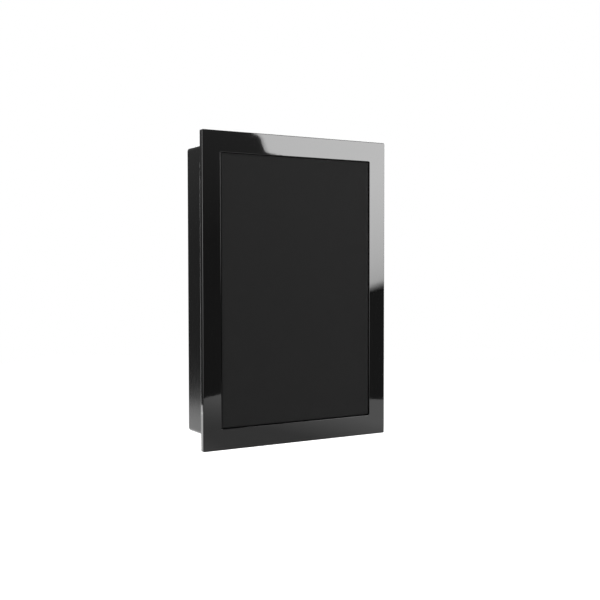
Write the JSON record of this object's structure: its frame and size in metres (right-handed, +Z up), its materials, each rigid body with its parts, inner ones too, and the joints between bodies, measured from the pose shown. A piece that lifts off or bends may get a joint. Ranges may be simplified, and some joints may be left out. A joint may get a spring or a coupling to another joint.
{
  "type": "on-wall speaker",
  "caption": "Slim rectangular on-wall speaker with a polished black picture-frame front, a magnet-held cloth grille, moving-coil drive units and a wall bracket.",
  "frame": {"origin": "middle of the rear face, on the wall", "axes": "+X to the right seen from the front, +Y into the wall, +Z up"},
  "size_m": [0.35, 0.098, 0.51],
  "materials": {
    "black_lacquer": "polished black lacquer",
    "satin_black": "satin black paint on board",
    "raw_board": "plain pressed board",
    "grille_fabric": "open black grille cloth",
    "black_plastic": "moulded black plastic",
    "bright_metal": "nickel plated",
    "cast_alloy": "cast alloy with dark paint",
    "dome_metal": "thin drawn metal",
    "black_rubber": "matt rubber",
    "cone_paper": "coated paper",
    "spider_cloth": "resin dipped cloth",
    "copper_wire": "enamelled copper winding",
    "zinc_steel": "zinc plated steel",
    "ferrite": "sintered ferrite",
    "black_steel": "blackened steel",
    "gasket_foam": "closed cell foam",
    "wadding": "polyester wadding",
    "green_card": "glass fibre circuit card",
    "nylon": "natural nylon",
    "capacitor_film": "taped film capacitor",
    "cement": "cement block",
    "gilt_brass": "gilt brass",
    "red_plastic": "clear red plastic",
    "black_cap": "black plastic",
    "lead_sheath": "insulated wire"
  },
  "bodies": {
    "cabinet": {"baffle": "satin_black", "baffle_magnets": "bright_metal", "bass_basket": "cast_alloy", "bass_gasket": "gasket_foam", "bass_leads": "lead_sheath", "bass_magnet": "ferrite", "bass_screws": "black_steel", "bass_spider": "spider_cloth", "bass_surround": "black_rubber", "bass_top_plate": "zinc_steel", "bass_yoke": "zinc_steel", "board_standoffs": "nylon", "brace": "raw_board", "cabinet_sleeve": "satin_black", "capacitors": "capacitor_film", "crossover_board": "green_card", "damping_pads": "wadding", "front_frame": "black_lacquer", "grille_cloth": "grille_fabric", "grille_frame": "black_plastic", "grille_magnets": "bright_metal", "hanger_plate": "zinc_steel", "hanger_screws": "zinc_steel", "inductors": "copper_wire", "input_leads": "lead_sheath", "mid_basket": "cast_alloy", "mid_chamber": "black_plastic", "mid_gasket": "gasket_foam", "mid_leads": "lead_sheath", "mid_magnet": "ferrite", "mid_screws": "black_steel", "mid_spider": "spider_cloth", "mid_surround": "black_rubber", "mid_top_plate": "zinc_steel", "mid_yoke": "zinc_steel", "rear_panel": "satin_black", "resistors": "cement", "terminal_cup": "black_plastic", "terminal_nuts": "gilt_brass", "terminal_posts": "gilt_brass", "terminal_screws": "black_steel", "tweeter_faceplate": "cast_alloy", "tweeter_gasket": "gasket_foam", "tweeter_leads": "lead_sheath", "tweeter_magnet": "ferrite", "tweeter_screws": "black_steel", "tweeter_surround": "spider_cloth", "tweeter_top_plate": "zinc_steel", "tweeter_yoke": "zinc_steel", "wall_bracket": "zinc_steel"},
    "bass_moving": {"bass_cone": "cone_paper", "bass_dust_cap": "cone_paper", "bass_voice_coil": "copper_wire"},
    "mid_moving": {"mid_cone": "cone_paper", "mid_dust_cap": "cone_paper", "mid_voice_coil": "copper_wire"},
    "tweeter_moving": {"tweeter_dome": "dome_metal", "tweeter_voice_coil": "copper_wire"},
    "red_cap": {"terminal_cap_red": "red_plastic"},
    "black_cap": {"terminal_cap_black": "black_cap"}
  },
  "joints": [
    {"name": "bass_travel", "type": "slide", "parent": "cabinet", "child": "bass_moving", "axis": [0, -1, 0], "range_m": [-0.004, 0.004], "stiffness_N_per_m": 1200, "deforming": ["bass_surround", "bass_spider"]},
    {"name": "mid_travel", "type": "slide", "parent": "cabinet", "child": "mid_moving", "axis": [0, -1, 0], "range_m": [-0.0015, 0.0015], "stiffness_N_per_m": 1000, "deforming": ["mid_surround", "mid_spider"]},
    {"name": "tweeter_travel", "type": "slide", "parent": "cabinet", "child": "tweeter_moving", "axis": [0, -1, 0], "range_m": [-0.0003, 0.0003], "stiffness_N_per_m": 1500, "deforming": ["tweeter_surround"]},
    {"name": "red_cap_turn", "type": "hinge", "parent": "cabinet", "child": "red_cap", "pos_m": [0.089, -0.02, 0.1], "axis": [0, 1, 0], "continuous": true},
    {"name": "black_cap_turn", "type": "hinge", "parent": "cabinet", "child": "black_cap", "pos_m": [0.115, -0.02, 0.1], "axis": [0, 1, 0], "continuous": true}
  ]
}
